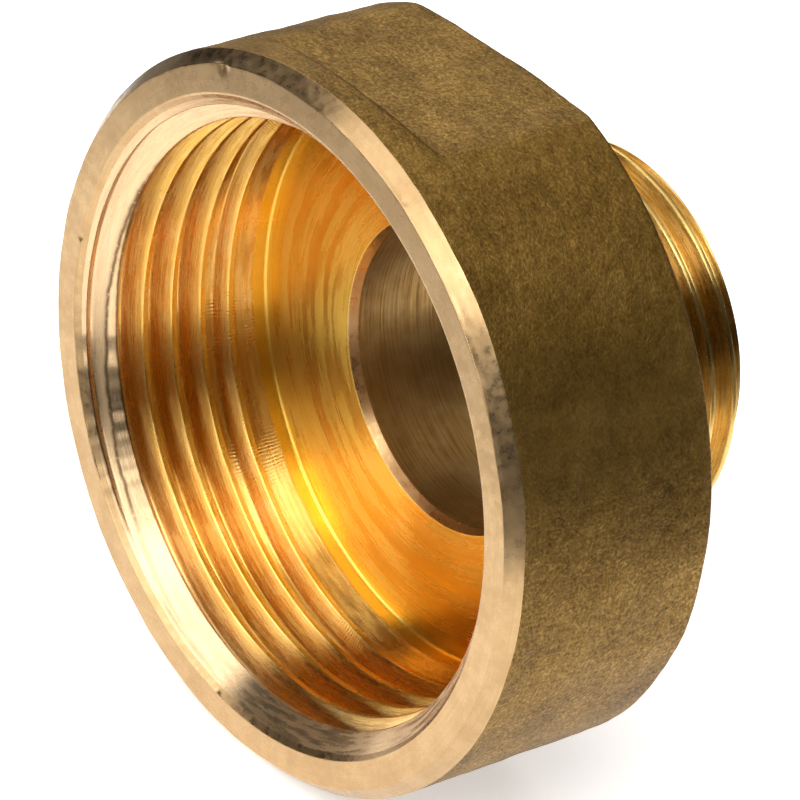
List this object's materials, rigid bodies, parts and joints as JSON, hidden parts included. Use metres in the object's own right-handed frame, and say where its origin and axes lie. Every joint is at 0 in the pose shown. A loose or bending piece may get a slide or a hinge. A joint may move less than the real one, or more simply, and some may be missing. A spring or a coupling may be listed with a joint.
{
  "type": "pipe reducing adapter",
  "caption": "Brass reducing adapter: wide round body with an internally threaded mouth, two wrench flats and a smaller externally threaded spigot, open right through.",
  "frame": {"origin": "centre of the socket's floor, on the shared axis of both threads, half way between the mouth face and the spigot's tip", "axes": "+Y along the axis towards the spigot's tip, so the mouth faces -Y; +Z out of one wrench flat; the fitting lies on its side"},
  "size_m": [0.0482, 0.028, 0.0482],
  "materials": {
    "brass": "blasted forged skin outside, bright turned and threaded surfaces"
  },
  "bodies": {
    "root": {"adapter_body": "brass"}
  },
  "joints": []
}
